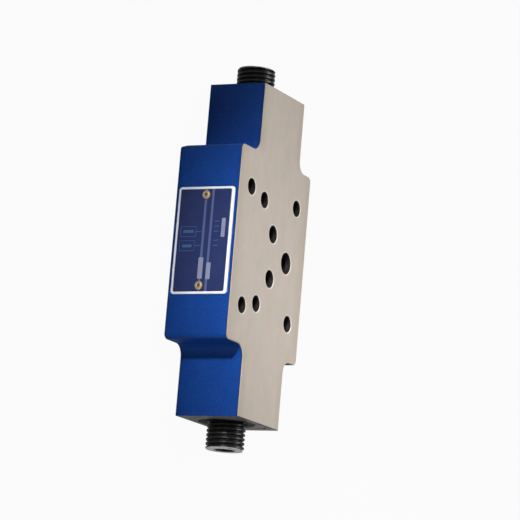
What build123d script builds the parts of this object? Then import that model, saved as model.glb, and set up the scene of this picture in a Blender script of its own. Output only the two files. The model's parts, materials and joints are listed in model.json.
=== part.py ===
from build123d import *
import os
from math import radians, tan

# Sandwich plate throttle check valve on the size 10 port pattern, all sizes in millimetres.
# The origin is the centre of the bolt pattern on the lower port face. X runs along the two
# adjusting spindles, +Y points to the nameplate side and +Z up through the valve stack.

# Body casting, ground on its two port faces and its two ends
body_height = 31.5
body_length = 152.6
middle_length = 88.6
middle_width = 70.0
end_width = 40.6
end_centre_y = -2.2
shoulder_corner_radius = 2.5
shoulder_root_radius = 5.5
edge_break = 0.3

# Cast relief under the +X end
relief_depth = 3.5
relief_width = 8.0
corner_dip_length = 1.2
corner_dip_height = 4.0

# Port pattern, seen from above
bolt_spacing_x = 54.0
bolt_spacing_y = 46.0
bolt_hole_diameter = 7.6
hole_break = 0.2
pressure_port_y = -16.7
pressure_port_diameter = 10.0
work_port_x = 10.3
work_port_y = -1.6
work_port_diameter = 8.2
work_port_depth = 10.2
work_port_pocket_diameter = 8.8
tank_port_x = 23.8
tank_port_y = 9.5
tank_port_diameter = 7.6
seal_recess_diameter = 16.2
seal_recess_depth = 1.4

# Bore for one throttle cartridge: its lengths in order from the end face inwards, and at
# the bottom the wall that parts the chambers of the two cartridges
cartridge_axis_y = -2.0
cartridge_axis_z = body_height / 2
bush_thread_length = 14.3
bush_thread_diameter = 25.8
bush_spigot_length = 11.0
bush_spigot_diameter = 21.0
piston_guide_length = 13.0
guide_diameter = 13.2
annulus_length = 8.0
annulus_diameter = 17.2
ring_land_width = 0.8
ring_groove_width = 1.2
ring_groove_diameter = 14.8
sleeve_bore_length = 13.0
chamber_wall = 8.0
chamber_diameter = 10.8

# Cored channel from a lower work port to its annulus
channel_floor = 3.6
channel_height = 4.0
channel_width = 9.2
riser_diameter = 7.6

# Running, sealing and seated gaps
sliding_clearance = 0.05
seal_clearance = 0.03
seat_clearance = 0.05
axial_play = 0.1
head_slot_clearance = 0.3
neck_slot_clearance = 0.2

# Adjusting spindle, with its lift counted from the closed position
thread_diameter = 17.5
thread_length = 23.5
closed_protrusion = 8.0
full_lift = 6.4
resting_protrusion = {"a": 12.4, "b": 11.6}
spindle_end_chamfer = 0.5
socket_across_flats = 8.0
socket_depth = 9.0
socket_mouth_chamfer = 0.5
stem_diameter = 10.0
neck_diameter = 4.4
head_diameter = 6.4
head_length = 3.0
stop_ring_thickness = 1.2
stop_ring_groove_diameter = 8.6
stop_ring_diameter = 12.6
stop_ring_opening = 4.0

# Guide bush
bush_smooth_length = 9.5
bush_mouth_chamfer = 0.8
bush_rim_chamfer = 0.5
bush_groove_offset = 4.0
bush_groove_diameter = 18.3
spanner_hole_diameter = 2.4
spanner_hole_circle = 22.0
spanner_hole_depth = 3.0

# Square-cut seals, drawn pressed into their grooves
seal_width = 2.0
seal_groove_width = 2.4
stem_groove_diameter = 7.4
stem_groove_offset = 0.3
port_seal_diameter = 14.2

# Throttle spool
nose_angle = 30.0
nose_diameter = 10.4
nose_tip_diameter = 4.8
spool_start = 1.6
spool_length = 12.4
slot_lip = 2.0
balance_hole_diameter = 2.0

# Check sleeve, its retaining ring and its spring
sleeve_length = 9.0
sleeve_bore_diameter = 8.6
seat_diameter = 10.0
sleeve_ring_bore = 11.2
sleeve_ring_opening = 5.0
spring_wire_diameter = 1.2
spring_diameter = 10.2
spring_pitch = 3.75

# Blind drilling in the -X end face
end_drilling_y = -15.8
end_drilling_z = 27.3
end_drilling_diameter = 3.0
end_drilling_depth = 6.0

# Nameplate and its rivets
plate_length = 48.7
plate_height = 28.0
plate_thickness = 0.6
plate_corner_radius = 1.5
rivet_spacing = 41.2
rivet_head_diameter = 4.2
rivet_head_height = 1.0
rivet_head_bevel = 0.5
rivet_dimple_diameter = 1.8
rivet_dimple_depth = 0.6
rivet_shank_diameter = 2.4
rivet_shank_length = 4.0
rivet_fit_clearance = 0.05

# Places worked out from the sizes above
half_length = body_length / 2
bush_thread_start = half_length - bush_thread_length
bush_start = bush_thread_start - bush_spigot_length
annulus_end = bush_start - piston_guide_length
annulus_start = annulus_end - annulus_length
ring_groove_start = annulus_start - ring_land_width - ring_groove_width
sleeve_bore_start = ring_groove_start - sleeve_bore_length
chamber_start = chamber_wall / 2
half_middle = middle_length / 2
half_width = middle_width / 2
end_side_y = end_width / 2
nose_slope = tan(radians(nose_angle))
nose_length = (nose_diameter - nose_tip_diameter) / 2 / nose_slope
seat_length = (seat_diameter - sleeve_bore_diameter) / 2 / nose_slope
seat_plane = ring_groove_start
channel_end = annulus_start + annulus_length / 2
bush_bore_start = bush_start + bush_smooth_length
work_ports = {"a": (-work_port_x, work_port_y), "b": (work_port_x, work_port_y)}
tank_ports = {"t": (-tank_port_x, tank_port_y), "t1": (tank_port_x, tank_port_y)}
pressure_port = {"p": (0, pressure_port_y)}
rivet_places = {"lower": -rivet_spacing / 2, "upper": rivet_spacing / 2}
rivet_hole_radius = rivet_shank_diameter / 2 + rivet_fit_clearance
side_of = {"a": -1, "b": 1}

os.makedirs("parts", exist_ok=True)


def turning_plane(side):
    # Local x runs outwards along one cartridge's axis and local y is the radius.
    return Plane(origin=(0, cartridge_axis_y, cartridge_axis_z), x_dir=(side, 0, 0), z_dir=(0, -side, 0))


def turning_axis(side):
    return Axis((0, cartridge_axis_y, cartridge_axis_z), (side, 0, 0))


def facing_plane(side, distance):
    # A plane square to the cartridge's axis that faces outwards.
    origin = (side * distance, cartridge_axis_y, cartridge_axis_z)
    return Plane(origin=origin, x_dir=(0, 1, 0), z_dir=(side, 0, 0))


def plate_plane(x):
    # The painted side behind the nameplate, seen from outside.
    return Plane(origin=(x, half_width, cartridge_axis_z), x_dir=(1, 0, 0), z_dir=(0, 1, 0))


def save(piece, name):
    piece.part.label = name
    export_step(piece.part, f"parts/{name}.step")


# Body: the outline with its shoulders, then the ports, the cartridge bores and the channels
with BuildPart() as valve_body:
    with BuildSketch() as outline:
        Rectangle(middle_length, middle_width)
        with Locations((0, end_centre_y)):
            Rectangle(body_length, end_width)
        roots = outline.vertices().filter_by(
            lambda v: abs(abs(v.X) - half_middle) < edge_break and abs(v.Y) < half_width - edge_break
        )
        fillet(roots, radius=shoulder_root_radius)
        corners = outline.vertices().filter_by(lambda v: abs(abs(v.Y) - half_width) < edge_break)
        fillet(corners, radius=shoulder_corner_radius)
    extrude(amount=body_height)
    top_rim = valve_body.faces().sort_by(Axis.Z)[-1].outer_wire().edges()
    bottom_rim = valve_body.faces().sort_by(Axis.Z)[0].outer_wire().edges()
    chamfer(top_rim + bottom_rim, length=edge_break)

    # Relief along both lower edges of the +X end, and the dips in its two lower shoulders
    for edge in (-1, 1):
        side_y = end_centre_y + edge * end_side_y
        with BuildSketch(Plane.YZ.offset(half_middle)):
            with BuildLine():
                Polyline(
                    (side_y - edge * relief_width, 0),
                    (side_y + edge * relief_width, 2 * relief_depth),
                    (side_y + edge * relief_width, 0),
                    close=True,
                )
            make_face()
        extrude(amount=half_length - half_middle, mode=Mode.SUBTRACT)
        dip_corner = Vector(half_middle - corner_dip_length, edge * half_width, 0)
        dip_top = Vector(half_middle, edge * half_width, corner_dip_height)
        dip_root = Vector(half_middle, side_y + edge * shoulder_root_radius, 0)
        outwards = (dip_top - dip_corner).cross(dip_root - dip_corner) * edge
        dip_plane = Plane(origin=dip_corner, x_dir=dip_top - dip_corner, z_dir=outwards)
        with BuildSketch(dip_plane):
            with BuildLine():
                Polyline(
                    (0, 0),
                    dip_plane.to_local_coords(dip_top),
                    dip_plane.to_local_coords(dip_root),
                    close=True,
                )
            make_face()
        extrude(amount=corner_dip_height, mode=Mode.SUBTRACT)

    # Through holes, and the two upper work ports with a wider pocket down into their chambers
    with Locations((0, 0, body_height)):
        with GridLocations(bolt_spacing_x, bolt_spacing_y, 2, 2):
            Hole(radius=bolt_hole_diameter / 2)
        with Locations(*pressure_port.values()):
            Hole(radius=pressure_port_diameter / 2)
        with Locations(*tank_ports.values()):
            Hole(radius=tank_port_diameter / 2)
        with Locations(*work_ports.values()):
            Hole(radius=work_port_diameter / 2, depth=work_port_depth)
    pocket_top = body_height - work_port_depth
    with BuildSketch(Plane.XY.offset(cartridge_axis_z)):
        with Locations(*work_ports.values()):
            Circle(work_port_pocket_diameter / 2)
    extrude(amount=pocket_top - cartridge_axis_z, mode=Mode.SUBTRACT)
    mouths = valve_body.faces().sort_by(Axis.Z)[-1].inner_wires()
    chamfer([edge for wire in mouths for edge in wire.edges()], length=hole_break)

    # Lower work ports, their channels, and the seal recess round each lower port
    with Locations(*work_ports.values()):
        Hole(radius=work_port_diameter / 2, depth=channel_floor)
    with Locations(*pressure_port.values(), *work_ports.values(), *tank_ports.values()):
        Hole(radius=seal_recess_diameter / 2, depth=seal_recess_depth)
    channel_middle = (work_port_x + channel_end) / 2
    for side in side_of.values():
        with BuildSketch(Plane.XY.offset(channel_floor)):
            with Locations((side * channel_middle, work_port_y)):
                SlotCenterToCenter(channel_end - work_port_x, channel_width)
        extrude(amount=channel_height, mode=Mode.SUBTRACT)
        with BuildSketch(Plane.XY.offset(channel_floor)):
            with Locations((side * channel_end, work_port_y)):
                Circle(riser_diameter / 2)
        extrude(amount=cartridge_axis_z - channel_floor, mode=Mode.SUBTRACT)

        # The stepped bore that takes one cartridge from the end face
        with BuildSketch(turning_plane(side)):
            with BuildLine():
                Polyline(
                    (chamber_start, 0),
                    (chamber_start, chamber_diameter / 2),
                    (sleeve_bore_start, chamber_diameter / 2),
                    (sleeve_bore_start, guide_diameter / 2),
                    (ring_groove_start, guide_diameter / 2),
                    (ring_groove_start, ring_groove_diameter / 2),
                    (ring_groove_start + ring_groove_width, ring_groove_diameter / 2),
                    (ring_groove_start + ring_groove_width, guide_diameter / 2),
                    (annulus_start, guide_diameter / 2),
                    (annulus_start, annulus_diameter / 2),
                    (annulus_end, annulus_diameter / 2),
                    (annulus_end, guide_diameter / 2),
                    (bush_start, guide_diameter / 2),
                    (bush_start, bush_spigot_diameter / 2 + sliding_clearance),
                    (bush_thread_start, bush_spigot_diameter / 2 + sliding_clearance),
                    (bush_thread_start, bush_thread_diameter / 2 + sliding_clearance),
                    (half_length, bush_thread_diameter / 2 + sliding_clearance),
                    (half_length, 0),
                    close=True,
                )
            make_face()
        revolve(axis=turning_axis(side), mode=Mode.SUBTRACT)

    # Blind drilling in the -X end, and the rivet holes behind the nameplate
    with Locations(Plane(origin=(-half_length, end_drilling_y, end_drilling_z), z_dir=(-1, 0, 0))):
        Hole(radius=end_drilling_diameter / 2, depth=end_drilling_depth)
    for rivet_x in rivet_places.values():
        with Locations(plate_plane(rivet_x)):
            Hole(radius=rivet_hole_radius, depth=rivet_shank_length)
save(valve_body, "valve_body")

# Seals round the lower ports, lying flush with the face as they do when clamped
for port, (port_x, port_y) in {**pressure_port, **work_ports, **tank_ports}.items():
    with BuildPart() as port_seal:
        recess_middle = (port_x, port_y, seal_recess_depth / 2)
        with BuildSketch(Plane(origin=recess_middle, x_dir=(1, 0, 0), z_dir=(0, -1, 0))):
            with Locations((port_seal_diameter / 2, 0)):
                Rectangle(seal_width - seal_clearance, seal_recess_depth)
        revolve(axis=Axis((port_x, port_y, 0), (0, 0, 1)))
    save(port_seal, f"port_seal_{port}")

# Nameplate, bare, with a hole for each rivet
with BuildPart() as nameplate:
    with BuildSketch(plate_plane(0)):
        RectangleRounded(plate_length, plate_height, plate_corner_radius)
        for rivet_x in rivet_places.values():
            with Locations((rivet_x, 0)):
                Circle(rivet_hole_radius, mode=Mode.SUBTRACT)
    extrude(amount=plate_thickness)
save(nameplate, "nameplate")

# Drive rivets with a bevelled head and the dimple that the punch leaves
for place, rivet_x in rivet_places.items():
    shank_end = half_width - rivet_shank_length + axial_play
    head_base = half_width + plate_thickness
    head_top = head_base + rivet_head_height
    with BuildPart() as nameplate_rivet:
        rivet_section = Plane(origin=(rivet_x, 0, cartridge_axis_z), x_dir=(1, 0, 0), z_dir=(0, 0, 1))
        with BuildSketch(rivet_section):
            with BuildLine():
                Polyline(
                    (0, shank_end),
                    (rivet_shank_diameter / 2, shank_end),
                    (rivet_shank_diameter / 2, head_base),
                    (rivet_head_diameter / 2, head_base),
                    (rivet_head_diameter / 2, head_top - rivet_head_bevel),
                    (rivet_head_diameter / 2 - rivet_head_bevel, head_top),
                    (rivet_dimple_diameter / 2, head_top),
                    (0, head_top - rivet_dimple_depth),
                    close=True,
                )
            make_face()
        revolve(axis=Axis((rivet_x, 0, cartridge_axis_z), (0, 1, 0)))
    save(nameplate_rivet, f"nameplate_rivet_{place}")

# The two cartridges, each turned about the same axis and lifted as far as the photo shows
for end, side in side_of.items():
    lift = resting_protrusion[end] - closed_protrusion
    spindle_end = half_length + resting_protrusion[end]
    thread_start = spindle_end - thread_length
    piston_start = seat_plane + spool_start + lift
    piston_end = piston_start + spool_length
    slot_start = piston_end - slot_lip - head_length - 2 * axial_play
    head_start = slot_start + axial_play
    stem_start = piston_end + axial_play
    stop_ring_start = bush_start - full_lift + lift - stop_ring_thickness
    stem_groove_start = bush_start + stem_groove_offset + lift

    # Guide bush: sealed spigot inside, thread outside, screwed in until its rim is flush
    with BuildPart() as guide_bush:
        with BuildSketch(turning_plane(side)):
            groove = bush_start + bush_groove_offset
            with BuildLine():
                Polyline(
                    (bush_start, stem_diameter / 2 + sliding_clearance),
                    (bush_start, bush_spigot_diameter / 2),
                    (groove, bush_spigot_diameter / 2),
                    (groove, bush_groove_diameter / 2),
                    (groove + seal_groove_width, bush_groove_diameter / 2),
                    (groove + seal_groove_width, bush_spigot_diameter / 2),
                    (bush_thread_start, bush_spigot_diameter / 2),
                    (bush_thread_start, bush_thread_diameter / 2),
                    (half_length - bush_rim_chamfer, bush_thread_diameter / 2),
                    (half_length, bush_thread_diameter / 2 - bush_rim_chamfer),
                    (half_length, thread_diameter / 2 + sliding_clearance + bush_mouth_chamfer),
                    (half_length - bush_mouth_chamfer, thread_diameter / 2 + sliding_clearance),
                    (bush_bore_start, thread_diameter / 2 + sliding_clearance),
                    (bush_bore_start, stem_diameter / 2 + sliding_clearance),
                    close=True,
                )
            make_face()
        revolve(axis=turning_axis(side))
        with Locations(facing_plane(side, half_length)):
            with PolarLocations(spanner_hole_circle / 2, 2):
                Hole(radius=spanner_hole_diameter / 2, depth=spanner_hole_depth)
    save(guide_bush, f"guide_bush_{end}")

    with BuildPart() as bush_seal:
        with BuildSketch(turning_plane(side)):
            bush_bore = bush_spigot_diameter + 2 * sliding_clearance
            with Locations((groove + seal_groove_width / 2, (bush_bore + bush_groove_diameter) / 4)):
                Rectangle(seal_width, (bush_bore - bush_groove_diameter) / 2 - 2 * seal_clearance)
        revolve(axis=turning_axis(side))
    save(bush_seal, f"bush_seal_{end}")

    # Adjusting spindle: thread and hex socket outside, sealed stem and captive head inside
    with BuildPart() as adjusting_spindle:
        with BuildSketch(turning_plane(side)):
            with BuildLine():
                Polyline(
                    (head_start, 0),
                    (head_start, head_diameter / 2),
                    (head_start + head_length, head_diameter / 2),
                    (head_start + head_length, neck_diameter / 2),
                    (stem_start, neck_diameter / 2),
                    (stem_start, stem_diameter / 2),
                    (stop_ring_start, stem_diameter / 2),
                    (stop_ring_start, stop_ring_groove_diameter / 2),
                    (stop_ring_start + stop_ring_thickness, stop_ring_groove_diameter / 2),
                    (stop_ring_start + stop_ring_thickness, stem_diameter / 2),
                    (stem_groove_start, stem_diameter / 2),
                    (stem_groove_start, stem_groove_diameter / 2),
                    (stem_groove_start + seal_groove_width, stem_groove_diameter / 2),
                    (stem_groove_start + seal_groove_width, stem_diameter / 2),
                    (thread_start, stem_diameter / 2),
                    (thread_start, thread_diameter / 2 - spindle_end_chamfer),
                    (thread_start + spindle_end_chamfer, thread_diameter / 2),
                    (spindle_end - spindle_end_chamfer, thread_diameter / 2),
                    (spindle_end, thread_diameter / 2 - spindle_end_chamfer),
                    (spindle_end, 0),
                    close=True,
                )
            make_face()
        revolve(axis=turning_axis(side))
        with BuildSketch(facing_plane(side, spindle_end)):
            RegularPolygon(socket_across_flats / 2, 6, major_radius=False)
        extrude(amount=-socket_depth, mode=Mode.SUBTRACT)
        socket_mouth = adjusting_spindle.edges().filter_by(
            lambda e: abs(abs(e.center().X) - spindle_end) < seal_clearance and not e.is_closed
        )
        chamfer(socket_mouth, length=socket_mouth_chamfer)
    save(adjusting_spindle, f"adjusting_spindle_{end}")

    with BuildPart() as spindle_seal:
        with BuildSketch(turning_plane(side)):
            stem_bore = stem_diameter + 2 * sliding_clearance
            seal_middle = stem_groove_start + seal_groove_width / 2
            with Locations((seal_middle, (stem_bore + stem_groove_diameter) / 4)):
                Rectangle(seal_width, (stem_bore - stem_groove_diameter) / 2 - 2 * seal_clearance)
        revolve(axis=turning_axis(side))
    save(spindle_seal, f"spindle_seal_{end}")

    # Snap ring on the stem, which meets the bush when the throttle is fully open
    with BuildPart() as spindle_stop_ring:
        with BuildSketch(facing_plane(side, stop_ring_start)):
            Circle(stop_ring_diameter / 2)
            Circle(stop_ring_groove_diameter / 2 + seat_clearance, mode=Mode.SUBTRACT)
            with Locations((0, -stop_ring_diameter / 2)):
                Rectangle(stop_ring_opening, stop_ring_diameter, mode=Mode.SUBTRACT)
        extrude(amount=stop_ring_thickness)
    save(spindle_stop_ring, f"spindle_stop_ring_{end}")

    # Throttle spool: conical nose, guided piston, and a slot at the back that holds the head
    with BuildPart() as throttle_spool:
        with BuildSketch(turning_plane(side)):
            nose_overhang = (nose_diameter - seat_diameter) / 2 + seat_clearance
            nose_end = seat_plane + lift + nose_overhang / nose_slope
            with BuildLine():
                Polyline(
                    (nose_end - nose_length, 0),
                    (nose_end - nose_length, nose_tip_diameter / 2),
                    (nose_end, nose_diameter / 2),
                    (piston_start, nose_diameter / 2),
                    (piston_start, guide_diameter / 2 - sliding_clearance),
                    (piston_end, guide_diameter / 2 - sliding_clearance),
                    (piston_end, 0),
                    close=True,
                )
            make_face()
        revolve(axis=turning_axis(side))
        for floor, depth, width in (
            (slot_start, piston_end - slot_lip - slot_start, head_diameter + 2 * head_slot_clearance),
            (slot_start, piston_end - slot_start, neck_diameter + 2 * neck_slot_clearance),
        ):
            with BuildSketch(facing_plane(side, floor)):
                Circle(width / 2)
                with Locations((0, side * guide_diameter / 2)):
                    Rectangle(width, guide_diameter)
            extrude(amount=depth, mode=Mode.SUBTRACT)
        with BuildSketch(facing_plane(side, nose_end - nose_length)):
            Circle(balance_hole_diameter / 2)
        extrude(amount=slot_start - nose_end + nose_length, mode=Mode.SUBTRACT)
    save(throttle_spool, f"throttle_spool_{end}")

    # Check sleeve with the conical seat, and the ring that keeps it in its bore
    with BuildPart() as check_sleeve:
        with BuildSketch(turning_plane(side)):
            with BuildLine():
                Polyline(
                    (seat_plane - sleeve_length, sleeve_bore_diameter / 2),
                    (seat_plane - sleeve_length, guide_diameter / 2 - sliding_clearance),
                    (seat_plane, guide_diameter / 2 - sliding_clearance),
                    (seat_plane, seat_diameter / 2),
                    (seat_plane - seat_length, sleeve_bore_diameter / 2),
                    close=True,
                )
            make_face()
        revolve(axis=turning_axis(side))
    save(check_sleeve, f"check_sleeve_{end}")

    with BuildPart() as sleeve_stop_ring:
        with BuildSketch(facing_plane(side, ring_groove_start)):
            Circle(ring_groove_diameter / 2 - seat_clearance)
            Circle(sleeve_ring_bore / 2, mode=Mode.SUBTRACT)
            with Locations((0, -ring_groove_diameter / 2)):
                Rectangle(sleeve_ring_opening, sleeve_ring_bore, mode=Mode.SUBTRACT)
        extrude(amount=ring_groove_width - axial_play)
    save(sleeve_stop_ring, f"sleeve_stop_ring_{end}")

    # Check spring, its wire drawn with six flats and its two ends ground level with their seats
    with BuildPart() as check_spring:
        spring_start = side * chamber_start
        spring_length = seat_plane - sleeve_length - chamber_start
        coil_radius = (spring_diameter - spring_wire_diameter) / 2
        with BuildLine() as coil:
            Helix(
                pitch=spring_pitch,
                height=spring_length,
                radius=coil_radius,
                center=(spring_start, cartridge_axis_y, cartridge_axis_z),
                direction=(side, 0, 0),
            )
        with BuildSketch(Plane(origin=coil.line @ 0, z_dir=coil.line % 0)):
            RegularPolygon(spring_wire_diameter / 2, 6)
        sweep()
        split(bisect_by=facing_plane(side, chamber_start), keep=Keep.TOP)
        split(bisect_by=facing_plane(side, chamber_start + spring_length), keep=Keep.BOTTOM)
    save(check_spring, f"check_spring_{end}")
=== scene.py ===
import json
import math

import bmesh
import bpy
from mathutils import Matrix, Vector


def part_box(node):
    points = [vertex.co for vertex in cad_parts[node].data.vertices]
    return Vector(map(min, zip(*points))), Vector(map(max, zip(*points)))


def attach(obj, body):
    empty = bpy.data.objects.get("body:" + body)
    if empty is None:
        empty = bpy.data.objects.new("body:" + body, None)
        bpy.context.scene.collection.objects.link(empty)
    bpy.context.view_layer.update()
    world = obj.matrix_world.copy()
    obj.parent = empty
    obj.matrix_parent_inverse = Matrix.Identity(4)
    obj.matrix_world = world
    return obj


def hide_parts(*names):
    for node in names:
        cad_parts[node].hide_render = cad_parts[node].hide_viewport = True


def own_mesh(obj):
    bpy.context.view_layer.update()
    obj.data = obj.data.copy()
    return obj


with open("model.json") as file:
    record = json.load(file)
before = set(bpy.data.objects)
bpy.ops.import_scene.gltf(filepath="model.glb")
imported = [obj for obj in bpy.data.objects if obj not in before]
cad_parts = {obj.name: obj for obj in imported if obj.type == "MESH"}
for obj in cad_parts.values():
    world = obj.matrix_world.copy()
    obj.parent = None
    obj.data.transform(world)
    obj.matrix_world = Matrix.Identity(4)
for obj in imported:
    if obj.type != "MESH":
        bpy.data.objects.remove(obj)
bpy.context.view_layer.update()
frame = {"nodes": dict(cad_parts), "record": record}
mm = 0.001

# The port face shows to the right and the +X end points up in the picture
cameraSetup = {
    "place": (-0.2704, 1.2427, 0.6704),
    "forward": (0.1885, -0.872, -0.4517),
    "up": (0.9786, 0.2053, 0.0122),
    "lens": 218.0,
    "sensor": 36.0,
}

# The cartridges' common axis and how far out the body's two ends are
bodyLow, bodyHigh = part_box("valve_body")
spindleLow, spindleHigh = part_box("adjusting_spindle_b")
axisY = (spindleLow.y + spindleHigh.y) / 2
axisZ = (spindleLow.z + spindleHigh.z) / 2
ends = {"a": -1, "b": 1}


# Arithmetic on shader sockets

class Term:
    def __init__(self, finish, socket):
        self.finish = finish
        self.socket = socket

    def math(self, operation, *values, clamp=False):
        settings = {"operation": operation, "use_clamp": clamp}
        node = self.finish.add("ShaderNodeMath", settings, dict(enumerate(values)))
        return Term(self.finish, node.outputs[0])

    def __add__(self, other):
        return self.math("ADD", self, other)

    def __radd__(self, other):
        return self.math("ADD", other, self)

    def __sub__(self, other):
        return self.math("SUBTRACT", self, other)

    def __rsub__(self, other):
        return self.math("SUBTRACT", other, self)

    def __mul__(self, other):
        return self.math("MULTIPLY", self, other)

    def __rmul__(self, other):
        return self.math("MULTIPLY", other, self)

    def __truediv__(self, other):
        return self.math("DIVIDE", self, other)

    def __abs__(self):
        return self.math("ABSOLUTE", self)

    def lower(self, other):
        return self.math("MINIMUM", self, other)

    def higher(self, other):
        return self.math("MAXIMUM", self, other)

    def root(self):
        return self.math("SQRT", self)

    def past(self, limit, blend):  # 0 below the limit and 1 above it, over a width of blend
        return self.math("MULTIPLY_ADD", self - limit, 1 / blend, 0.5, clamp=True)


# Nodes of a tree under construction, for materials and for geometry

class Nodes:
    def __init__(self, tree):
        self.tree = tree
        self.tree.nodes.clear()

    def add(self, kind, settings=None, inputs=None):
        node = self.tree.nodes.new(kind)
        for name, value in (settings or {}).items():
            if name == "stops":
                while len(node.color_ramp.elements) < len(value):
                    node.color_ramp.elements.new(1.0)
                for element, (position, colour) in zip(node.color_ramp.elements, value):
                    element.position = position
                    element.color = (*colour, 1.0)
            else:
                setattr(node, name, value)
        for name, value in (inputs or {}).items():
            self.feed(node.inputs[name], value)
        return node

    def feed(self, socket, value):
        if isinstance(value, Term):
            self.tree.links.new(value.socket, socket)
        elif isinstance(value, bpy.types.NodeSocket):
            self.tree.links.new(value, socket)
        elif socket.type == "RGBA" and len(value) == 3:
            socket.default_value = (*value, 1.0)
        else:
            socket.default_value = value


class Finish(Nodes):
    def __init__(self, name):
        self.material = bpy.data.materials.new(name)
        self.material.use_nodes = True
        super().__init__(self.material.node_tree)
        coordinates = self.add("ShaderNodeTexCoord")
        self.place = coordinates.outputs["Object"]
        self.normal = coordinates.outputs["Normal"]

    def split(self, vector):
        node = self.add("ShaderNodeSeparateXYZ", None, {0: vector})
        return [Term(self, out) for out in node.outputs]

    def noise(self, size, detail=3.0, roughness=0.55, stretch=(1, 1, 1)):
        spread = self.add("ShaderNodeMapping", None, {"Vector": self.place, "Scale": stretch})
        settings = {"Scale": 1 / size, "Detail": detail, "Roughness": roughness}
        node = self.add("ShaderNodeTexNoise", None, {"Vector": spread.outputs[0], **settings})
        return Term(self, node.outputs["Fac"])

    def cells(self, size):
        node = self.add("ShaderNodeTexVoronoi", None, {"Vector": self.place, "Scale": 1 / size})
        return Term(self, node.outputs["Distance"])

    def mix(self, factor, first, second):
        node = self.add("ShaderNodeMix", {"data_type": "RGBA"})
        self.feed(node.inputs[0], factor)
        self.feed(node.inputs[6], first)
        self.feed(node.inputs[7], second)
        return node.outputs[2]

    def ramp(self, factor, *stops):
        return self.add("ShaderNodeValToRGB", {"stops": stops}, {0: factor}).outputs[0]

    def bump(self, height, distance, strength=1.0, normal=None):
        inputs = {"Height": height, "Distance": distance, "Strength": strength}
        if normal is not None:
            inputs["Normal"] = normal
        return self.add("ShaderNodeBump", None, inputs).outputs[0]

    def surface(self, **inputs):
        named = {name.replace("_", " "): value for name, value in inputs.items()}
        return self.add("ShaderNodeBsdfPrincipled", None, named).outputs[0]

    def end(self, shader):
        self.add("ShaderNodeOutputMaterial", None, {0: shader})
        return self.material


# Finishes

bodyPaint = {
    "deep": (0.0020, 0.033, 0.205),
    "pale": (0.0065, 0.074, 0.345),
    "edge": (0.0010, 0.014, 0.090),
    "peelSize": 0.9 * mm,
    "peelHeight": 0.12 * mm,
    "roughness": 0.48,
}
groundFace = {
    "pale": (0.520, 0.455, 0.400),
    # The second ground colour serves both the stains and a painted edge shade
    "stainedAndShaded": (0.410, 0.350, 0.275),
    # A bright colour for the painted highlight round the holes
    "rim": (0.780, 0.740, 0.680),
    # Near black, the painted shade on the bore walls
    "dark": (0.022, 0.018, 0.017),
    "pink": (0.530, 0.425, 0.385),
    "green": (0.465, 0.450, 0.370),
    "end": (0.24, 0.225, 0.21),
    "endDark": (0.10, 0.09, 0.08),
    "roughness": 0.46,
    "metallic": 0.30,
}
bodyShape = {
    "middleHalfLength": 44.3 * mm,
    "cornerStart": 31.5 * mm,
    "endSideHigh": 17.85 * mm,
    "endSideLow": -22.25 * mm,
    # Width of the painted highlight ring round the holes
    "rimWidth": 0.45 * mm,
}


def portFaceHoles():
    # Centre and radius of each hole in the port face, as the record's mounts state them
    holes = []
    for mount in frame["record"]["mounts"]:
        x, y, z = mount["pos_m"]
        dims = mount["dims"]
        if mount["kind"] == "bolt_pattern":
            stepX = dims["spacing_x_mm"] / 2 * mm
            stepY = dims["spacing_y_mm"] / 2 * mm
            for signX in (-1, 1):
                for signY in (-1, 1):
                    holes.append((x + signX * stepX, y + signY * stepY, dims["hole_r_mm"] * mm))
        elif mount["kind"] == "bore" and mount["axis"][2] > 0:
            holes.append((x, y, dims["r_mm"] * mm))
    return holes


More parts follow.
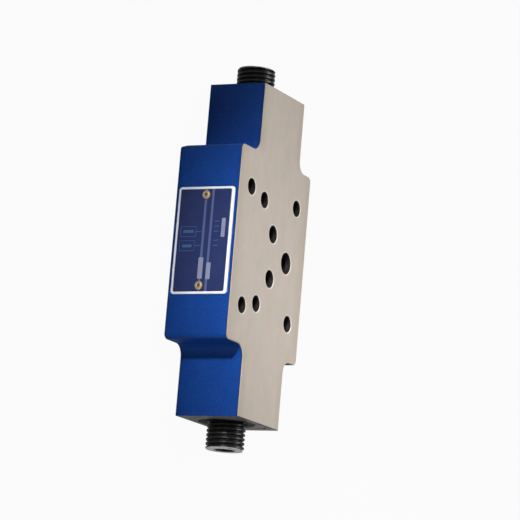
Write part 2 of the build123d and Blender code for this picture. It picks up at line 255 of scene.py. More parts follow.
def bodyFinish():
    finish = Finish("castBodyFinish")
    x, y, z = finish.split(finish.place)
    nx, ny, nz = finish.split(finish.normal)
    shape = bodyShape
    # Painted: the cast sides, and never a ground face or the inside of a bore
    outX = abs(x)
    outY = abs(y)
    onEnds = y.past(shape["endSideHigh"], 0.1 * mm).higher((-1 * y).past(-shape["endSideLow"], 0.1 * mm))
    onEnds = onEnds * outX.past(shape["middleHalfLength"] - 0.4 * mm, 0.1 * mm)
    onMiddle = outY.past(shape["cornerStart"], 0.1 * mm)
    upright = 1 - abs(nz).past(0.62, 0.05)
    endFace = outX.past(bodyHigh.x - 0.32 * mm, 0.02 * mm) * abs(nx).past(0.6, 0.05)
    painted = upright * onEnds.higher(onMiddle) * (1 - endFace)

    # Orange-peel paint
    peel = finish.noise(bodyPaint["peelSize"], detail=2.0)
    fine = finish.noise(bodyPaint["peelSize"] * 0.35, detail=1.0)
    cloud = finish.noise(14 * mm, detail=2.0)
    speckle = peel.past(0.60, 0.18)
    tone = cloud * 0.45 + speckle * 0.40 + fine * 0.15
    paintColour = finish.mix(tone, bodyPaint["deep"], bodyPaint["pale"])
    # The paint is darker in a narrow band along the corners with the two ground faces
    corner = z.past(bodyHigh.z - 0.75 * mm, 0.3 * mm).higher(1 - z.past(bodyLow.z + 0.85 * mm, 0.3 * mm))
    paintColour = finish.mix(corner * 0.8, paintColour, bodyPaint["edge"])
    paintBump = finish.bump(peel + fine * 0.35, bodyPaint["peelHeight"], 0.55)
    paint = finish.surface(
        Base_Color=paintColour, Roughness=bodyPaint["roughness"] + 0.12 * (fine - 0.5),
        Specular_IOR_Level=0.16, Normal=paintBump,
    )

    # Ground metal: fine marks along the body, cloudy stains, and painted shade that darkens it towards the edges
    streak = finish.noise(1.1 * mm, detail=4.0, stretch=(0.09, 1, 1))
    scratch = finish.noise(0.22 * mm, detail=2.0, stretch=(0.03, 1, 1))
    stain = finish.noise(9 * mm, detail=3.0, stretch=(0.6, 1, 1))
    edgeShadeMiddle = outY.past(30 * mm, 9 * mm)
    edgeShadeEnds = y.past(14.5 * mm, 6 * mm).higher((-1 * y).past(19 * mm, 6 * mm))
    edgeShadeEnds = edgeShadeEnds * outX.past(46 * mm, 6 * mm)
    # Painted shade: the two edge masks darken the ground face in a band along its outer edges, and the stain and
    # streak terms add real marks
    stainsAndEdgeShade = (edgeShadeMiddle.higher(edgeShadeEnds) * 0.55 + stain.past(0.58, 0.30) * 0.35 + streak.past(0.62, 0.4) * 0.18)
    stainsAndEdgeShade = stainsAndEdgeShade.lower(1.0)
    metalColour = finish.mix(stainsAndEdgeShade, groundFace["pale"], groundFace["stainedAndShaded"])
    # Faint blotches, as cutting oil leaves them
    blotch = finish.noise(5 * mm, detail=3.0, stretch=(0.45, 1, 1))
    metalColour = finish.mix(blotch.past(0.62, 0.12) * 0.5, metalColour, groundFace["pink"])
    metalColour = finish.mix((1 - blotch.past(0.40, 0.12)) * 0.5, metalColour, groundFace["green"])
    # A painted highlight rim round each hole, painted shade on the bore walls, and darker turned ends
    away = None
    for holeX, holeY, radius in portFaceHoles():
        apart = ((x - holeX) * (x - holeX) + (y - holeY) * (y - holeY)).root() - radius
        away = apart if away is None else away.lower(apart)
    # Painted highlight: a bright ring round each hole stands in for light caught on the hole edges
    rim = 1 - away.past(shape["rimWidth"], 0.3 * mm)
    metalColour = finish.mix(rim * 0.8, metalColour, groundFace["rim"])
    # Painted shade: the bore walls are coloured almost black to stand in for the shade inside the holes
    boreShade = (1 - abs(nz).past(0.35, 0.05)) * (1 - endFace)
    metalColour = finish.mix(boreShade, metalColour, groundFace["dark"])
    endTone = finish.mix(stain.past(0.52, 0.16), groundFace["end"], groundFace["endDark"])
    metalColour = finish.mix(endFace, metalColour, endTone)
    metalBump = finish.bump(scratch + streak * 0.5, 0.02 * mm, 0.35)
    metal = finish.surface(
        Base_Color=metalColour, Metallic=groundFace["metallic"],
        Roughness=groundFace["roughness"] + 0.15 * (stain - 0.5), Normal=metalBump,
    )
    both = finish.add("ShaderNodeMixShader", None, {0: painted, 1: metal, 2: paint})
    return finish.end(both.outputs[0])


def blackOxideFinish(name, endX=None):
    finish = Finish(name)
    x, y, z = finish.split(finish.place)
    nx, ny, nz = finish.split(finish.normal)
    away = ((y - axisY) * (y - axisY) + (z - axisZ) * (z - axisZ)).root()
    mottle = finish.noise(1.6 * mm, detail=3.0)
    marks = finish.noise(0.25 * mm, detail=2.0, stretch=(1, 0.2, 0.2))
    black = finish.mix(mottle, (0.0045, 0.004, 0.0045), (0.011, 0.010, 0.011))
    # Crests rub a little bright where the lock nut has passed
    rubbed = away.past(8.66 * mm, 0.08 * mm) * mottle.past(0.58, 0.2) * 0.10
    colour = finish.mix(rubbed, black, (0.14, 0.13, 0.13))
    roughness = 0.34 + 0.2 * (mottle - 0.5)
    if endX is not None:
        # The bare turned ring round the socket, whose lead-in stays black
        turned = abs(x).past(abs(endX) - 0.6 * mm, 0.05 * mm) * abs(nx).past(0.55, 0.1)
        turned = turned * away.past(4.9 * mm, 0.1 * mm)
        rings = away.math("SINE", away * (2 * math.pi / (0.35 * mm)))
        bare = finish.mix(mottle, (0.66, 0.65, 0.64), (0.88, 0.87, 0.86))
        colour = finish.mix(turned, colour, bare)
        height = marks * 0.4 + rings * 0.1 * turned
    else:
        height = marks * 0.4
    normal = finish.bump(height, 0.02 * mm, 0.4)
    metallic = 0.0
    gloss = 0.35
    if endX is not None:
        metallic = turned * 0.2
    else:
        roughness = roughness + 0.2
        gloss = 0.10
    shader = finish.surface(
        Base_Color=colour, Metallic=metallic, Roughness=roughness, Specular_IOR_Level=gloss, Normal=normal,
    )
    return finish.end(shader)


def steelFinish(name, pale, dark, roughness, grain=(1, 0.15, 0.15)):
    finish = Finish(name)
    marks = finish.noise(0.3 * mm, detail=3.0, stretch=grain)
    cloud = finish.noise(3 * mm, detail=2.0)
    colour = finish.mix(marks * 0.5 + cloud * 0.5, dark, pale)
    normal = finish.bump(marks, 0.01 * mm, 0.4)
    shader = finish.surface(
        Base_Color=colour, Metallic=0.9, Roughness=roughness + 0.1 * (cloud - 0.5), Normal=normal,
    )
    return finish.end(shader)


def plainFinish(name, pale, dark, roughness, size, height, metallic=0.0, gloss=0.5):
    finish = Finish(name)
    grain = finish.noise(size, detail=3.0)
    cloud = finish.noise(size * 12, detail=2.0)
    colour = finish.mix(grain * 0.4 + cloud * 0.6, dark, pale)
    normal = finish.bump(grain, height, 0.5)
    shader = finish.surface(
        Base_Color=colour, Metallic=metallic, Roughness=roughness + 0.15 * (cloud - 0.5),
        Specular_IOR_Level=gloss, Normal=normal,
    )
    return finish.end(shader)


def rivetFinish():
    finish = Finish("rivetBrass")
    height = finish.split(finish.place)[1]
    grain = finish.noise(0.3 * mm, detail=3.0)
    colour = finish.mix(grain, (0.50, 0.34, 0.15), (0.70, 0.53, 0.29))
    # Painted shade down the hole and round the foot of the head
    holeAndFootShade = 1 - height.past(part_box("nameplate")[1].y + 0.42 * mm, 0.35 * mm)
    colour = finish.mix(holeAndFootShade * 0.92, colour, (0.085, 0.040, 0.010))
    shader = finish.surface(
        Base_Color=colour, Metallic=0.8 - 0.6 * holeAndFootShade, Roughness=0.34 + 0.3 * holeAndFootShade,
        Normal=finish.bump(grain, 0.01 * mm, 0.5),
    )
    return finish.end(shader)


castBody = bodyFinish()
blackSpindle = {
    end: blackOxideFinish("blackSpindle_" + end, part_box("adjusting_spindle_" + end)[(side + 1) // 2].x)
    for end, side in ends.items()
}
blackBush = blackOxideFinish("blackBush")
groundSteel = steelFinish("groundSteel", (0.68, 0.68, 0.67), (0.50, 0.50, 0.50), 0.25)
springSteel = steelFinish("springSteel", (0.36, 0.36, 0.37), (0.24, 0.24, 0.25), 0.35)
rubber = plainFinish("sealRubber", (0.028, 0.028, 0.028), (0.015, 0.015, 0.015), 0.55, 0.2 * mm, 0.02 * mm)
whiteEnamel = plainFinish("plateWhite", (0.93, 0.94, 0.97), (0.84, 0.85, 0.89), 0.35, 0.4 * mm, 0.01 * mm)


def inkFinish(name, pale, dark):
    return plainFinish(name, pale, dark, 0.45, 0.35 * mm, 0.006 * mm, gloss=0.12)


navyPrint = inkFinish("plateNavy", (0.030, 0.044, 0.140), (0.018, 0.028, 0.105))
paleInk = inkFinish("plateInk", (0.115, 0.140, 0.310), (0.080, 0.100, 0.240))
blueInk = inkFinish("plateBlueInk", (0.070, 0.140, 0.330), (0.045, 0.100, 0.250))
greyInk = inkFinish("plateGreyInk", (0.32, 0.34, 0.48), (0.20, 0.215, 0.33))
brass = rivetFinish()
print("finishes ready")


# Making and placing pieces

def makePiece(name, vertices, faces, material, sharpAngle=35):
    mesh = bpy.data.meshes.new(name)
    mesh.from_pydata(vertices, [], faces)
    form = bmesh.new()
    form.from_mesh(mesh)
    bmesh.ops.remove_doubles(form, verts=form.verts, dist=0.001 * mm)
    bmesh.ops.dissolve_degenerate(form, edges=form.edges, dist=0.001 * mm)
    bmesh.ops.recalc_face_normals(form, faces=form.faces)
    form.to_mesh(mesh)
    form.free()
    return finishPiece(bpy.data.objects.new(name, mesh), material, sharpAngle)


def finishPiece(piece, material, sharpAngle=35):
    bpy.context.scene.collection.objects.link(piece)
    piece.data.materials.clear()
    piece.data.materials.append(material)
    piece.data.shade_smooth()
    piece.data.set_sharp_from_angle(angle=math.radians(sharpAngle))
    return piece


def place(side, out, radius, angle):
    # A point by its distance out along one cartridge's axis, its radius and its right-handed angle
    return (side * out, axisY + radius * math.cos(angle), axisZ + side * radius * math.sin(angle))


def closeGrid(rows, count, name, material, sharpAngle=35):
    # Rows of as many points each, joined to the next row all the way round
    vertices = [point for row in rows for point in row]
    faces = []
    for row in range(len(rows) - 1):
        for step in range(count):
            following = (step + 1) % count
            low = row * count
            high = low + count
            faces.append((low + step, low + following, high + following, high + step))
    faces.append(tuple(range(count)))
    faces.append(tuple(range((len(rows) - 1) * count, len(rows) * count)))
    return makePiece(name, vertices, faces, material, sharpAngle)


# Adjusting spindles: helical thread, hex socket, and the stem that reaches the throttle spool

spindle = {
    "segments": 96,
    "pitch": 2.0 * mm,
    "crest": 8.75 * mm,
    "root": 7.85 * mm,
    "crestFlat": 0.34,
    "rootFlat": 0.08,
    "threadLength": 23.5 * mm,
    "endRadius": 8.25 * mm,
    "mouthRadius": 4.85 * mm,
    "socketAcross": 8.0 * mm,
    "socketDepth": 9.0 * mm,
    "leadSlope": 0.6,
    "phase": {"a": 0.65, "b": 0.65},
    # Distance in from the outer end, and radius, along the stem behind the thread
    "stem": (
        (23.5, 5.0), (30.6, 5.0), (30.6, 3.7), (33.0, 3.7), (33.0, 5.0), (39.7, 5.0), (39.7, 4.3),
        (40.9, 4.3), (40.9, 5.0), (42.2, 5.0), (42.2, 2.2), (44.4, 2.2), (44.4, 3.2), (47.4, 3.2),
    ),
}


def threadRadius(turn):
    # Radius at a share of one pitch: crest, flank, root, flank
    half = abs((turn + 0.5) % 1.0 - 0.5)
    crestEnd = spindle["crestFlat"] / 2
    rootStart = 0.5 - spindle["rootFlat"] / 2
    share = min(max((half - crestEnd) / (rootStart - crestEnd), 0.0), 1.0)
    return spindle["crest"] + (spindle["root"] - spindle["crest"]) * share


def hexRadius(angle):
    # One pair of corners points up and down through the stack
    sector = math.radians(60)
    offset = ((angle + sector / 2) % sector) - sector / 2
    return spindle["socketAcross"] / 2 / math.cos(offset)


def makeSpindle(end, side):
    low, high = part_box("adjusting_spindle_" + end)
    outer = high.x if side > 0 else -low.x
    count = spindle["segments"]
    angles = [2 * math.pi * step / count for step in range(count)]
    turns = [0.0, spindle["crestFlat"] / 2, 0.5 - spindle["rootFlat"] / 2, 0.5 + spindle["rootFlat"] / 2]
    turns.append(1 - spindle["crestFlat"] / 2)
    middles = [(low + high) / 2 for low, high in zip(turns, turns[1:] + [1.0])]
    turns = sorted(turns + middles)
    pitch = spindle["pitch"]
    threadStart = outer - spindle["threadLength"]
    total = int(spindle["threadLength"] / pitch) + 3
    vertices = []
    faces = []
    # Each station follows the helix, and is held at the two ends of the thread
    stations = [lap + turn for lap in range(-1, total) for turn in turns]
    phase = spindle["phase"][end]
    for step in range(count + 1):
        angle = 2 * math.pi * step / count
        for station in stations:
            out = threadStart + pitch * (station - phase + step / count)
            out = min(max(out, threadStart), outer)
            radius = threadRadius((out - threadStart) / pitch + phase - step / count)
            fromEnd = min(outer - out, out - threadStart)
            radius = min(radius, spindle["endRadius"] + fromEnd)
            vertices.append(place(side, out, radius, angle))
    across = len(stations)
    for step in range(count):
        for row in range(across - 1):
            base = step * across + row
            faces.append((base, base + 1, base + across + 1, base + across))

    def addRing(radiusAt, outAt):
        start = len(vertices)
        for angle in angles:
            vertices.append(place(side, outAt(angle), radiusAt(angle), angle))
        return start

    def joinRings(first, second):
        for step in range(count):
            following = (step + 1) % count
            faces.append((first + step, first + following, second + following, second + step))

    # Outer end face, lead-in of the socket, socket walls and the drilled floor
    depth = spindle["socketDepth"]
    face = addRing(lambda a: spindle["endRadius"], lambda a: outer)
    mouth = addRing(lambda a: spindle["mouthRadius"], lambda a: outer)
    lead = addRing(hexRadius, lambda a: outer - (spindle["mouthRadius"] - hexRadius(a)) * spindle["leadSlope"])
    floor = addRing(hexRadius, lambda a: outer - depth)
    drill = addRing(lambda a: 3.4 * mm, lambda a: outer - depth)
    tip = len(vertices)
    vertices.append(place(side, outer - depth - 1.2 * mm, 0.0, 0.0))
    for first, second in ((face, mouth), (mouth, lead), (lead, floor), (floor, drill)):
        joinRings(first, second)
    for step in range(count):
        faces.append((drill + step, drill + (step + 1) % count, tip))

    # Stem
    previous = addRing(lambda a: spindle["endRadius"], lambda a: threadStart)
    for inwards, radius in spindle["stem"]:
        ring = addRing(lambda a: radius * mm, lambda a: outer - inwards * mm)
        joinRings(previous, ring)
        previous = ring
    faces.append(tuple(range(previous, previous + count)))
    piece = makePiece("spindle_" + end, vertices, faces, blackSpindle[end], 30)
    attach(piece, "spindle_" + end)
    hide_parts("adjusting_spindle_" + end)


for end, side in ends.items():
    makeSpindle(end, side)
print("spindles ready")

# Geometry Nodes recipes for what repeats or follows a path

class Recipe(Nodes):
    def __init__(self, name, sockets):
        super().__init__(bpy.data.node_groups.new(name, "GeometryNodeTree"))
        face = self.tree.interface
        face.new_socket("Geometry", in_out="OUTPUT", socket_type="NodeSocketGeometry")
        face.new_socket("Geometry", in_out="INPUT", socket_type="NodeSocketGeometry")
        for label, kind in sockets.items():
            face.new_socket(label, in_out="INPUT", socket_type="NodeSocket" + kind)
        self.given = self.add("NodeGroupInput").outputs

    def end(self, geometry):
        realised = self.add("GeometryNodeRealizeInstances", None, {0: geometry})
        coloured = self.add(
            "GeometryNodeSetMaterial", None, {"Geometry": realised.outputs[0], "Material": self.given["Material"]},
        )
        self.add("NodeGroupOutput", None, {0: coloured.outputs[0]})
        return self.tree


def runRecipe(name, recipe, source, values, material, sharpAngle=35):
    # Evaluates the tree on a source mesh and keeps the result as one plain piece
    carrier = bpy.data.objects.new(name + "Source", source)
    bpy.context.scene.collection.objects.link(carrier)
    modifier = carrier.modifiers.new(name, "NODES")
    modifier.node_group = recipe
    for item in recipe.interface.items_tree:
        if item.item_type == "SOCKET" and item.in_out == "INPUT" and item.name in values:
            modifier[item.identifier] = values[item.name]
    bpy.context.view_layer.update()
    shaped = carrier.evaluated_get(bpy.context.evaluated_depsgraph_get())
    mesh = bpy.data.meshes.new_from_object(shaped)
    carrier.modifiers.remove(modifier)
    bpy.data.objects.remove(carrier)
    mesh.name = name
    form = bmesh.new()
    form.from_mesh(mesh)
    bmesh.ops.remove_doubles(form, verts=form.verts, dist=0.001 * mm)
    bmesh.ops.recalc_face_normals(form, faces=form.faces)
    form.to_mesh(mesh)
    form.free()
    return finishPiece(bpy.data.objects.new(name, mesh), material, sharpAngle)


def pointMesh(name, points, edges=()):
    mesh = bpy.data.meshes.new(name)
    mesh.from_pydata([tuple(point) for point in points], list(edges), [])
    return mesh


def ringRecipe():
    # Rings of flattened cord, one on each point of the source
    sockets = {"Ring Radius": "Float", "Cord Width": "Float", "Cord Height": "Float",
               "Turn": "Rotation", "Material": "Material"}
    recipe = Recipe("ringOfCord", sockets)
    given = recipe.given
    loop = recipe.add("GeometryNodeCurvePrimitiveCircle", None, {"Resolution": 96, "Radius": given["Ring Radius"]})
    section = recipe.add("GeometryNodeCurvePrimitiveCircle", None, {"Resolution": 20, "Radius": 0.5})
    scale = recipe.add("ShaderNodeCombineXYZ", None, {0: given["Cord Height"], 1: given["Cord Width"], 2: 1.0})
    section = recipe.add("GeometryNodeTransform", None, {0: section.outputs[0], "Scale": scale.outputs[0]})
    ring = recipe.add("GeometryNodeCurveToMesh", None, {0: loop.outputs[0], 1: section.outputs[0]})
    placed = recipe.add("GeometryNodeInstanceOnPoints", None, {
        "Points": given["Geometry"], "Instance": ring.outputs[0], "Rotation": given["Turn"],
    })
    return recipe.end(placed.outputs[0])


def coilRecipe():
    # A coil spring along X whose two ends are ground flat
    sockets = {"Start": "Vector", "Length": "Float", "Coil Radius": "Float", "Wire Radius": "Float",
               "Turns": "Float", "Material": "Material"}
    recipe = Recipe("groundCoil", sockets)
    given = recipe.given
    helix = recipe.add("GeometryNodeCurveSpiral", None, {
        "Resolution": 40, "Rotations": given["Turns"], "Start Radius": given["Coil Radius"],
        "End Radius": given["Coil Radius"], "Height": given["Length"],
    })
    wire = recipe.add("GeometryNodeCurvePrimitiveCircle", None, {"Resolution": 14, "Radius": given["Wire Radius"]})
    swept = recipe.add("GeometryNodeCurveToMesh", None, {
        0: helix.outputs[0], 1: wire.outputs[0], "Fill Caps": True,
    })
    spot = recipe.add("GeometryNodeInputPosition")
    parts = recipe.add("ShaderNodeSeparateXYZ", None, {0: spot.outputs[0]})
    held = recipe.add("ShaderNodeClamp", None, {"Value": parts.outputs[2], "Min": 0.0, "Max": given["Length"]})
    ground = recipe.add("ShaderNodeCombineXYZ", None, {0: held.outputs[0], 1: parts.outputs[0], 2: parts.outputs[1]})
    placed = recipe.add("ShaderNodeVectorMath", {"operation": "ADD"}, {0: ground.outputs[0], 1: given["Start"]})
    moved = recipe.add("GeometryNodeSetPosition", None, {"Geometry": swept.outputs[0], "Position": placed.outputs[0]})
    return recipe.end(moved.outputs[0])


def lineRecipe():
    # Flat printed lines along the edges of the source
    sockets = {"Line Width": "Float", "Line Height": "Float", "Material": "Material"}
    recipe = Recipe("printedLine", sockets)
    given = recipe.given
    paths = recipe.add("GeometryNodeMeshToCurve", None, {0: given["Geometry"]})
    upright = recipe.add("GeometryNodeSetCurveNormal", {"mode": "FREE"}, {0: paths.outputs[0], "Normal": (0, 1, 0)})
    section = recipe.add("GeometryNodeCurvePrimitiveQuadrilateral", {"mode": "RECTANGLE"}, {
        "Width": given["Line Height"], "Height": given["Line Width"],
    })
    printed = recipe.add("GeometryNodeCurveToMesh", None, {
        0: upright.outputs[0], 1: section.outputs[0], "Fill Caps": True,
    })
    return recipe.end(printed.outputs[0])


def rivetRecipe():
    # Copies of one rivet on the points of the source
    recipe = Recipe("rivetRow", {"Rivet": "Object", "Material": "Material"})
    given = recipe.given
    rivet = recipe.add("GeometryNodeObjectInfo", None, {"Object": given["Rivet"]})
    placed = recipe.add("GeometryNodeInstanceOnPoints", None, {
        "Points": given["Geometry"], "Instance": rivet.outputs["Geometry"],
    })
    return recipe.end(placed.outputs[0])


rings = ringRecipe()
coils = coilRecipe()
lines = lineRecipe()
rivets = rivetRecipe()

# Seals of round cord, pressed a little flat in their grooves

sealPorts = ("p", "a", "b", "t", "t1")


def middleOf(node):
    low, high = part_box(node)
    return (low + high) / 2


def makeSeals():
    low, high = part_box("port_seal_p")
    depth = high.z - low.z
    outer = (high.x - low.x) / 2
    width = 1.9 * mm
    points = [middleOf("port_seal_" + port) for port in sealPorts]
    values = {"Ring Radius": outer - width / 2, "Cord Width": depth, "Cord Height": width, "Material": rubber}
    piece = runRecipe("portSeals", rings, pointMesh("portSealPoints", points), values, rubber, 60)
    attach(piece, "root")
    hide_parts(*["port_seal_" + port for port in sealPorts])
    for end in ends:
        for kind, body in (("bush_seal_", "root"), ("spindle_seal_", "spindle_" + end)):
            low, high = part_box(kind + end)
            outer = (high.y - low.y) / 2
            height = {"bush_seal_": 1.34, "spindle_seal_": 1.26}[kind] * mm
            values = {
                "Ring Radius": outer - height / 2, "Cord Width": high.x - low.x, "Cord Height": height,
                "Turn": (0, math.radians(90), 0), "Material": rubber,
            }
            points = [middleOf(kind + end)]
            piece = runRecipe(kind.replace("_seal_", "Seal_") + end, rings, pointMesh("sealPoint", points), values, rubber, 60)
            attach(piece, body)
            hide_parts(kind + end)


checkSpring = {"turns": 5.0, "wire": 1.2 * mm, "outside": 10.2 * mm, "travel": 3.9 * mm}


def makeSprings():
    for end, side in ends.items():
        low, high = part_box("check_spring_" + end)
        length = high.x - low.x
        values = {
            "Start": (low.x, axisY, axisZ), "Length": length, "Turns": checkSpring["turns"],
            "Coil Radius": (checkSpring["outside"] - checkSpring["wire"]) / 2,
            "Wire Radius": checkSpring["wire"] / 2, "Material": springSteel,
        }
        piece = runRecipe("spring_" + end, coils, pointMesh("springPoint", [(0, 0, 0)]), values, springSteel, 60)
        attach(piece, "root")
        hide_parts("check_spring_" + end)
        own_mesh(piece)


makeSeals()
makeSprings()
print("seals and springs ready")

# Nameplate: a dark printed field in a white border, with plain lines and blank fields

namePlate = {
    "border": 1.05 * mm,
    "borderPortSide": 1.5 * mm,
    "fieldRadius": 0.7 * mm,
    "printHeight": 0.02 * mm,
    "longLines": (-0.1, 3.4),
    "longLineWidth": 1.15 * mm,
    "fineLineWidth": 0.3 * mm,
    # Plain blank fields: middle across, middle up, width, height
    "blankFields": ((-0.1, -12.7, 2.4, 9.6), (3.9, -14.0, 2.2, 7.6), (9.7, 5.6, 1.9, 8.6)),
    # Pale bars inside the two frames of the flow diagram
    "diagramBars": ((-7.6, 4.0, 5.2, 1.3), (-7.8, -2.6, 4.8, 1.3)),
    "frames": ((-7.6, 3.9, 7.6, 4.6), (-7.8, -2.5, 7.4, 4.6)),
}
plateLow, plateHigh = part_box("nameplate")
plateTop = plateHigh.y


def onPlate(across, up, height=0.0):
    # Across runs towards the port face and up towards the +X end
    return (up * mm, plateTop + height, axisZ + across * mm)


def roundedBar(across, up, width, height, radius, low, high):
    corners = []
    for quarter, (signA, signU) in enumerate(((1, 1), (-1, 1), (-1, -1), (1, -1))):
        for step in range(5):
            angle = math.radians(90 * quarter + 22.5 * step)
            corners.append((
                across + signA * (width / 2 - radius) + radius * math.cos(angle),
                up + signU * (height / 2 - radius) + radius * math.sin(angle),
            ))
    count = len(corners)
    vertices = [onPlate(a, u, low) for a, u in corners] + [onPlate(a, u, high) for a, u in corners]
    faces = [tuple(range(count)), tuple(range(2 * count - 1, count - 1, -1))]
    for step in range(count):
        following = (step + 1) % count
        faces.append((step, following, count + following, count + step))
    return vertices, faces


def printedBars(name, bars, radius, low, high, material):
    vertices = []
    faces = []
    for across, up, width, height in bars:
        points, sides = roundedBar(across, up, width, height, radius, low, high)
        faces += [tuple(corner + len(vertices) for corner in side) for side in sides]
        vertices += points
    piece = makePiece(name, vertices, faces, material, 30)
    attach(piece, "root")
    return piece


def printedLines(name, paths, width, height, material):
    points = []
    edges = []
    for path in paths:
        start = len(points)
        points += [onPlate(across, up, height) for across, up in path]
        edges += [(start + step, start + step + 1) for step in range(len(path) - 1)]
    values = {"Line Width": width, "Line Height": namePlate["printHeight"], "Material": material}
    piece = runRecipe(name, lines, pointMesh(name + "Path", points, edges), values, material, 30)
    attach(piece, "root")


def frameAround(across, up, width, height):
    left, right = across - width / 2, across + width / 2
    low, high = up - height / 2, up + height / 2
    return [(left, low), (right, low), (right, high), (left, high), (left, low)]


def makePlatePrint():
    height = namePlate["printHeight"]
    fieldWidth = (plateHigh.z - plateLow.z - namePlate["border"] - namePlate["borderPortSide"]) / mm
    fieldHeight = (plateHigh.x - plateLow.x - 2 * namePlate["border"]) / mm
    fieldAcross = (namePlate["border"] - namePlate["borderPortSide"]) / 2 / mm
    radius = namePlate["fieldRadius"] / mm
    printedBars("plateField", [(fieldAcross, 0, fieldWidth, fieldHeight)], radius, -height, height, navyPrint)
    reach = fieldHeight / 2
    longPaths = [[(across, -reach), (across, reach)] for across in namePlate["longLines"]]
    printedLines("plateLongLines", longPaths, namePlate["longLineWidth"], height, paleInk)
    finePaths = [frameAround(*box) for box in namePlate["frames"]]
    finePaths += [[(-11.9, 3.9), (-11.4, 3.9)], [(-11.9, -2.5), (-11.5, -2.5)], [(-3.8, 3.9), (-1.2, 3.9)]]
    finePaths += [[(-4.1, -2.5), (-1.2, -2.5)], [(5.2, 8.5), (7.6, 8.5)], [(5.2, 6.2), (7.6, 6.2)]]
    finePaths += [[(5.2, 3.9), (7.6, 3.9)], [(5.2, -2.5), (7.6, -2.5)], [(5.2, -0.2), (7.6, -0.2)]]
    printedLines("plateFineLines", finePaths, namePlate["fineLineWidth"], height, blueInk)
    printedBars("plateDiagramBars", namePlate["diagramBars"], 0.3, height * 0.5, height * 1.6, blueInk)
    printedBars("plateBlankFields", namePlate["blankFields"], 0.3, height * 0.5, height * 1.7, greyInk)


# Drive rivets: a rolled brass head with a deep hole in the middle

plateRivet = {
    # Radius and height above the plate, from the middle of the hole outwards
    "profile": (
        (0.75, -0.30), (0.75, 0.62), (0.82, 0.80), (0.98, 0.92), (1.22, 0.96), (1.52, 0.88), (1.80, 0.66),
        (2.00, 0.36), (2.10, 0.06), (2.08, 0.0), (1.20, 0.0), (1.20, -3.3),
    ),
    "segments": 48,
}


def makeRivets():
    count = plateRivet["segments"]
    rows = []
    for radius, height in plateRivet["profile"]:
        angles = [2 * math.pi * step / count for step in range(count)]
        rows.append([(radius * mm * math.sin(a), height * mm, radius * mm * math.cos(a)) for a in angles])
    rivet = closeGrid(rows, count, "rivetPattern", brass, 50)
    places = [middleOf("nameplate_rivet_lower"), middleOf("nameplate_rivet_upper")]
    points = [(place.x, plateTop, place.z) for place in places]
    values = {"Rivet": rivet, "Material": brass}
    piece = runRecipe("plateRivets", rivets, pointMesh("rivetPoints", points), values, brass, 50)
    bpy.data.objects.remove(rivet)
    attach(piece, "root")
    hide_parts("nameplate_rivet_lower", "nameplate_rivet_upper")


makePlatePrint()
makeRivets()
print("nameplate ready")

# CAD nodes that keep their shape

for name, node in frame["nodes"].items():
    finishes = {
        "valve_body": castBody, "nameplate": whiteEnamel, "guide_bush": blackBush,
        "port_seal": rubber, "bush_seal": rubber, "spindle_seal": rubber,
        "throttle_spool": groundSteel, "check_sleeve": groundSteel,
        "spindle_stop_ring": springSteel, "sleeve_stop_ring": springSteel, "check_spring": springSteel,
        "nameplate_rivet": brass, "adjusting_spindle": blackBush,
    }
    for prefix, material in finishes.items():
        if name == prefix or name.startswith(prefix + "_"):
            node.data.materials.clear()
            node.data.materials.append(material)


# Stage, camera and light

stageSetup = {
    "size": 6.0,
    "floorColour": (0.30, 0.30, 0.30),
    "seenWhite": 0.95,
    "mirroredWhite": 0.25,
    "worldLight": 0.11,
}
lamps = {
    # Towards each lamp from the point it faces, its distance, its width along and across, its power
    "portFaceBox": {
        "faces": (0, -40, 16), "towards": (0.45, -0.35, 1.0), "distance": 1.1, "size": (1.0, 0.4), "power": 10.0,
    },
    "frontStrip": {
        "faces": (60, 0, 16), "towards": (0.19, 0.872, 0.452), "distance": 1.5, "size": (0.45, 0.22), "power": 0.5,
    },
    "lowStrip": {
        "faces": (-50, 20, 16), "towards": (-0.85, 0.45, 0.1), "distance": 1.0, "size": (0.4, 0.3), "power": 2.2,
    },
}
softSpot = {
    # Lights the painted sides from the front, and fades out over the upper end block
    "faces": (-6, 37, 99),
    "towards": (0.36, 0.89, 0.28),
    "distance": 1.2,
    "brightRadius": 0.059,
    "blend": 0.28,
    "lampRadius": 0.067,
    "power": 235.0,
}


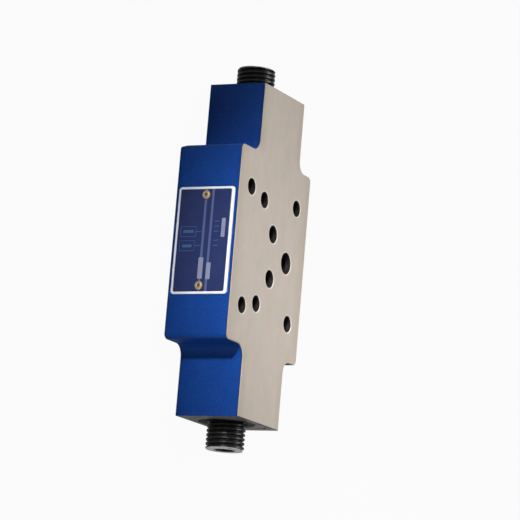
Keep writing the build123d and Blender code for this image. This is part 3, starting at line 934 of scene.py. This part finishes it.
def makeStage():
    half = stageSetup["size"] / 2
    level = bodyLow.z - 0.05 * mm
    corners = [(-half, -half, level), (half, -half, level), (half, half, level), (-half, half, level)]
    mesh = bpy.data.meshes.new("floor")
    mesh.from_pydata(corners, [], [(0, 1, 2, 3)])
    floor = bpy.data.objects.new("floor", mesh)
    bpy.context.scene.collection.objects.link(floor)
    finish = Finish("floorWhite")
    path = finish.add("ShaderNodeLightPath")
    seen = Term(finish, path.outputs["Is Camera Ray"]).higher(Term(finish, path.outputs["Is Transmission Ray"]))
    seen = seen.higher(Term(finish, path.outputs["Is Glossy Ray"]) * stageSetup["mirroredWhite"])
    card = finish.surface(Base_Color=stageSetup["floorColour"], Roughness=0.9)
    glow = finish.add("ShaderNodeEmission", None, {"Color": (1, 1, 1), "Strength": 1.0})
    shader = finish.add("ShaderNodeMixShader", None, {0: seen * stageSetup["seenWhite"], 1: card, 2: glow.outputs[0]})
    mesh.materials.append(finish.end(shader.outputs[0]))

    world = bpy.data.worlds.new("studio")
    bpy.context.scene.world = world
    world.use_nodes = True
    sky = Nodes(world.node_tree)
    path = sky.add("ShaderNodeLightPath")
    seen = Term(sky, path.outputs["Is Camera Ray"]).higher(Term(sky, path.outputs["Is Transmission Ray"]))
    seen = seen.higher(Term(sky, path.outputs["Is Glossy Ray"]) * stageSetup["mirroredWhite"])
    strength = seen * (1 - stageSetup["worldLight"]) + stageSetup["worldLight"]
    background = sky.add("ShaderNodeBackground", None, {"Color": (1, 1, 1), "Strength": strength})
    sky.add("ShaderNodeOutputWorld", None, {0: background.outputs[0]})


def aimLamp(name, data, setup):
    light = bpy.data.objects.new(name, data)
    towards = Vector(setup["towards"]).normalized()
    along = (Vector((1, 0, 0)) - towards * towards.x).normalized()
    turn = Matrix((along, towards.cross(along), towards)).transposed().to_4x4()
    faced = Vector(setup["faces"]) * mm
    light.matrix_world = Matrix.Translation(faced + towards * setup["distance"]) @ turn
    bpy.context.scene.collection.objects.link(light)


def makeLamps():
    for name, lamp in lamps.items():
        data = bpy.data.lights.new(name, "AREA")
        data.shape = "RECTANGLE"
        data.size, data.size_y = lamp["size"]
        data.energy = lamp["power"]
        aimLamp(name, data, lamp)
    data = bpy.data.lights.new("softSpot", "SPOT")
    data.energy = softSpot["power"]
    data.shadow_soft_size = softSpot["lampRadius"]
    data.spot_size = 2 * math.atan2(softSpot["brightRadius"], softSpot["distance"])
    data.spot_blend = softSpot["blend"]
    aimLamp("softSpot", data, softSpot)


def makeCamera():
    data = bpy.data.cameras.new("camera")
    data.lens = cameraSetup["lens"]
    data.sensor_width = cameraSetup["sensor"]
    data.sensor_fit = "HORIZONTAL"
    forward = Vector(cameraSetup["forward"]).normalized()
    right = forward.cross(Vector(cameraSetup["up"])).normalized()
    up = right.cross(forward)
    turn = Matrix((right, up, -forward)).transposed().to_4x4()
    camera = bpy.data.objects.new("camera", data)
    camera.matrix_world = Matrix.Translation(cameraSetup["place"]) @ turn
    bpy.context.scene.collection.objects.link(camera)
    bpy.context.scene.camera = camera


makeStage()
makeLamps()
makeCamera()
bpy.context.scene.view_settings.view_transform = "Standard"
print("stage ready")
